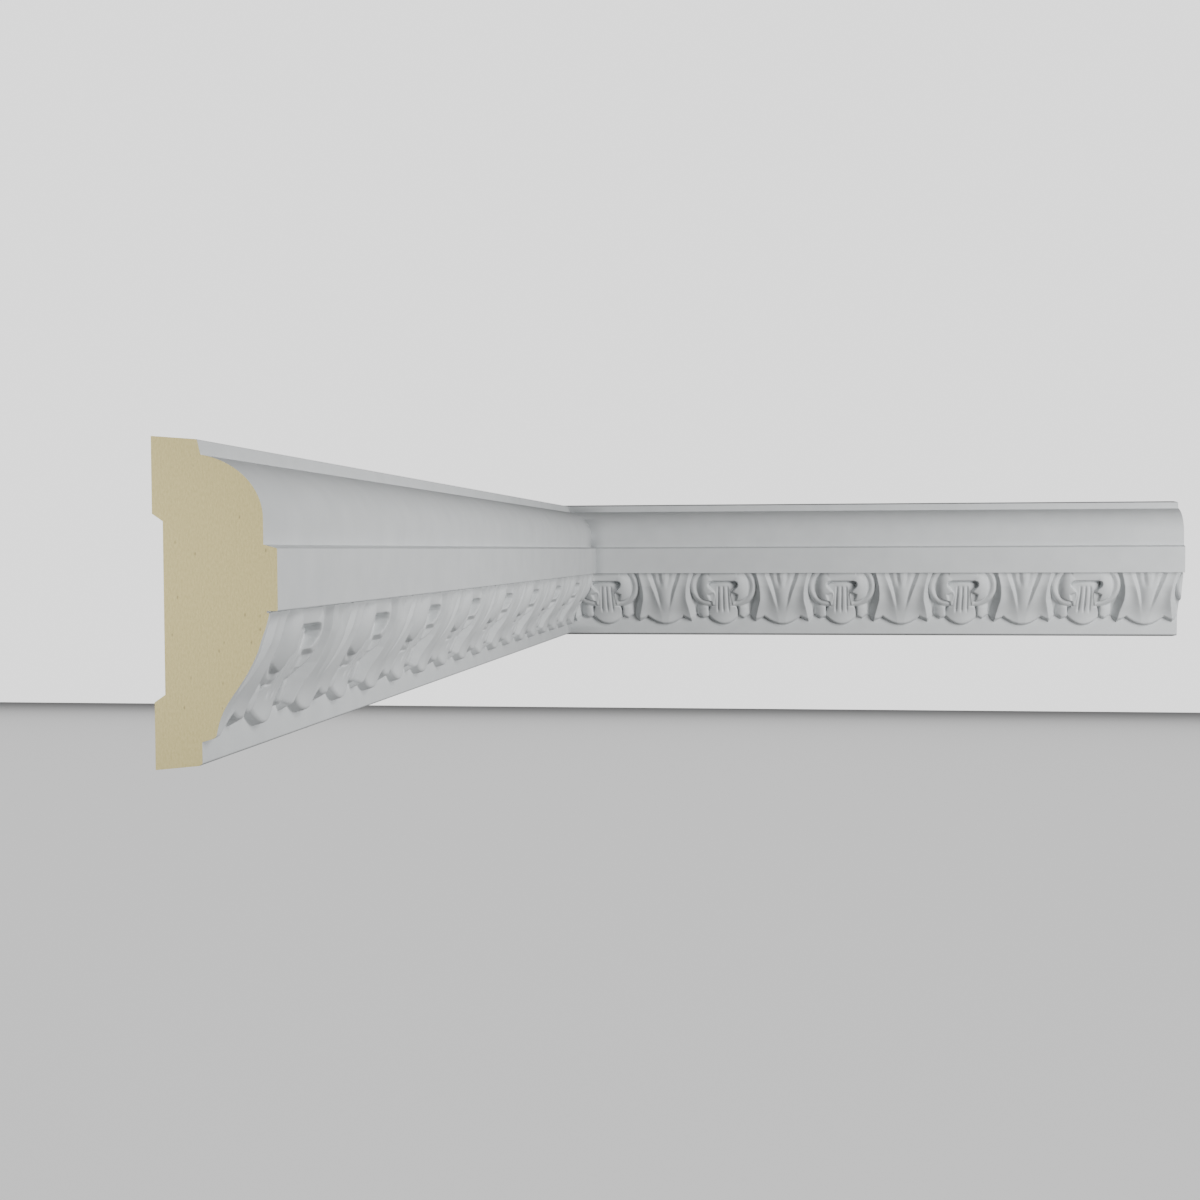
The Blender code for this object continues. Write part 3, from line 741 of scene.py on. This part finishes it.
def paint_material():
    """Matt white primer: faint mottling, and the fine tooth that sprayed primer keeps."""
    material, tree, shader = nodes_of("white_primer")
    place = tree.nodes.new("ShaderNodeTexCoord").outputs["Object"]
    mottle = add_noise(tree, place, scale=60.0, detail=4.0)
    tint = add_ramp(tree, mottle, 0.30, PAINT_DARK, 0.70, PAINT_PALE)
    tree.links.new(tint, shader.inputs["Base Color"])
    tooth = add_noise(tree, place, scale=1400.0, detail=3.0)
    add_bump(tree, shader, tooth, strength=0.10)
    add_sheen(shader, roughness=0.58, specular=0.35)
    return material


def foam_material():
    """Bare sawn foam: sand coloured, with a fine upright grain and small dark pits."""
    material, tree, shader = nodes_of("sawn_foam")
    new, link = tree.nodes.new, tree.links.new
    stretch = new("ShaderNodeMapping")
    stretch.inputs["Scale"].default_value = GRAIN_STRETCH
    link(new("ShaderNodeTexCoord").outputs["Object"], stretch.inputs["Vector"])
    place = stretch.outputs["Vector"]
    grain = add_noise(tree, place, scale=1500.0, detail=5.0, roughness=0.65)
    tint = add_ramp(tree, grain, 0.32, FOAM_DARK, 0.66, FOAM_PALE)
    pits = new("ShaderNodeTexVoronoi")
    pits.inputs["Scale"].default_value = 240.0
    link(place, pits.inputs["Vector"])
    outside_pits = add_ramp(tree, pits.outputs["Distance"], 0.03, BLACK, 0.10, WHITE)
    shade = new("ShaderNodeMix")
    shade.data_type = "RGBA"
    shade.inputs["A"].default_value = FOAM_PIT
    link(outside_pits, shade.inputs["Factor"])
    link(tint, shade.inputs["B"])
    link(shade.outputs["Result"], shader.inputs["Base Color"])
    relief = new("ShaderNodeMath")
    relief.operation = "MULTIPLY_ADD"
    relief.inputs[1].default_value = 0.5
    link(outside_pits, relief.inputs[0])
    link(grain, relief.inputs[2])
    add_bump(tree, shader, relief.outputs["Value"], strength=0.30)
    add_sheen(shader, roughness=0.9, specular=0.15)
    return material


def floor_material():
    """Matt pale floor, which casts little light back up at the moulding."""
    material, tree, shader = nodes_of("pale_floor")
    shader.inputs["Base Color"].default_value = FLOOR_SEEN
    shader.inputs["Roughness"].default_value = 0.8
    dull = tree.nodes.new("ShaderNodeBsdfDiffuse")
    dull.inputs["Color"].default_value = FLOOR_CAST
    surface = tree.nodes["Material Output"].inputs["Surface"]
    show_or_cast(tree, shader.outputs["BSDF"], dull.outputs["BSDF"], surface)
    return material


def add_run(name, node, location, turn, length, mitre_at_start, materials):
    """Puts a dressed length where its solid is."""
    piece = bpy.data.objects.new(name, run_mesh(name, length, mitre_at_start))
    bpy.context.scene.collection.objects.link(piece)
    for material in materials:
        piece.data.materials.append(material)
    piece.location = location
    piece.rotation_euler = (0.0, 0.0, turn)
    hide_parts(node)
    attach(piece, "root")


def add_camera():
    """Camera where the photograph was taken from."""
    camera = bpy.data.cameras.new("camera")
    camera.sensor_width = SENSOR
    camera.lens = FOCAL_PIXELS * SENSOR / FRAME_PIXELS
    camera.shift_y = (CENTRE_ROW - FRAME_PIXELS / 2) / FRAME_PIXELS
    camera.clip_start = CAMERA_NEAR
    eye = bpy.data.objects.new("camera", camera)
    bpy.context.scene.collection.objects.link(eye)
    level = Vector((-math.sin(CAMERA_YAW), math.cos(CAMERA_YAW), 0.0))
    side = Vector((math.cos(CAMERA_YAW), math.sin(CAMERA_YAW), 0.0))
    up = Vector((0.0, 0.0, 1.0))
    ahead = level * math.cos(CAMERA_PITCH) - up * math.sin(CAMERA_PITCH)
    crown = up * math.cos(CAMERA_PITCH) + level * math.sin(CAMERA_PITCH)
    right = side * math.cos(CAMERA_ROLL) + crown * math.sin(CAMERA_ROLL)
    top = crown * math.cos(CAMERA_ROLL) - side * math.sin(CAMERA_ROLL)
    turned = Matrix((right, top, -ahead)).transposed().to_4x4()
    eye.matrix_world = Matrix.Translation(CAMERA_PLACE) @ turned
    bpy.context.scene.camera = eye


def add_light(name, place, target, size, power, spread):
    """Square soft light turned towards a target."""
    light = bpy.data.lights.new(name, "AREA")
    light.size = size
    light.energy = power
    light.spread = math.radians(spread)
    lamp = bpy.data.objects.new(name, light)
    bpy.context.scene.collection.objects.link(lamp)
    lamp.location = place
    lamp.rotation_euler = (Vector(target) - Vector(place)).to_track_quat("-Z", "Y").to_euler()


def add_studio():
    """Pale floor, soft lights on the right and behind, a small one at the cut end, and a dim surround."""
    bpy.ops.mesh.primitive_plane_add(size=FLOOR_SIZE, location=FLOOR_PLACE)
    floor = bpy.context.object
    floor.name = "floor"
    floor.data.materials.append(floor_material())
    for light in LIGHTS:
        add_light(*light)
    world = bpy.data.worlds.new("surround")
    bpy.context.scene.world = world
    world.use_nodes = True
    tree = world.node_tree
    dim = tree.nodes["Background"]
    dim.inputs["Color"].default_value = SURROUND_COLOR
    dim.inputs["Strength"].default_value = SURROUND_STRENGTH
    pale = tree.nodes.new("ShaderNodeBackground")
    pale.inputs["Color"].default_value = WHITE
    pale.inputs["Strength"].default_value = BACKDROP_STRENGTH
    surface = tree.nodes["World Output"].inputs["Surface"]
    show_or_cast(tree, pale.outputs["Background"], dim.outputs["Background"], surface)


HALF_SHEET = half_repeat_sheet()
LEFT_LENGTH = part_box("left_run")[1].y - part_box("left_run")[0].y
RIGHT_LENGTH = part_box("right_run")[1].x
FINISHES = (paint_material(), foam_material())
add_camera()
add_run("left_moulding", "left_run", (0.0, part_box("left_run")[0].y, -ORIGIN_HEIGHT), math.pi / 2,
        LEFT_LENGTH, False, FINISHES)
add_run("right_moulding", "right_run", (0.0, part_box("right_run")[1].y, -ORIGIN_HEIGHT), 0.0,
        RIGHT_LENGTH, True, FINISHES)
add_studio()
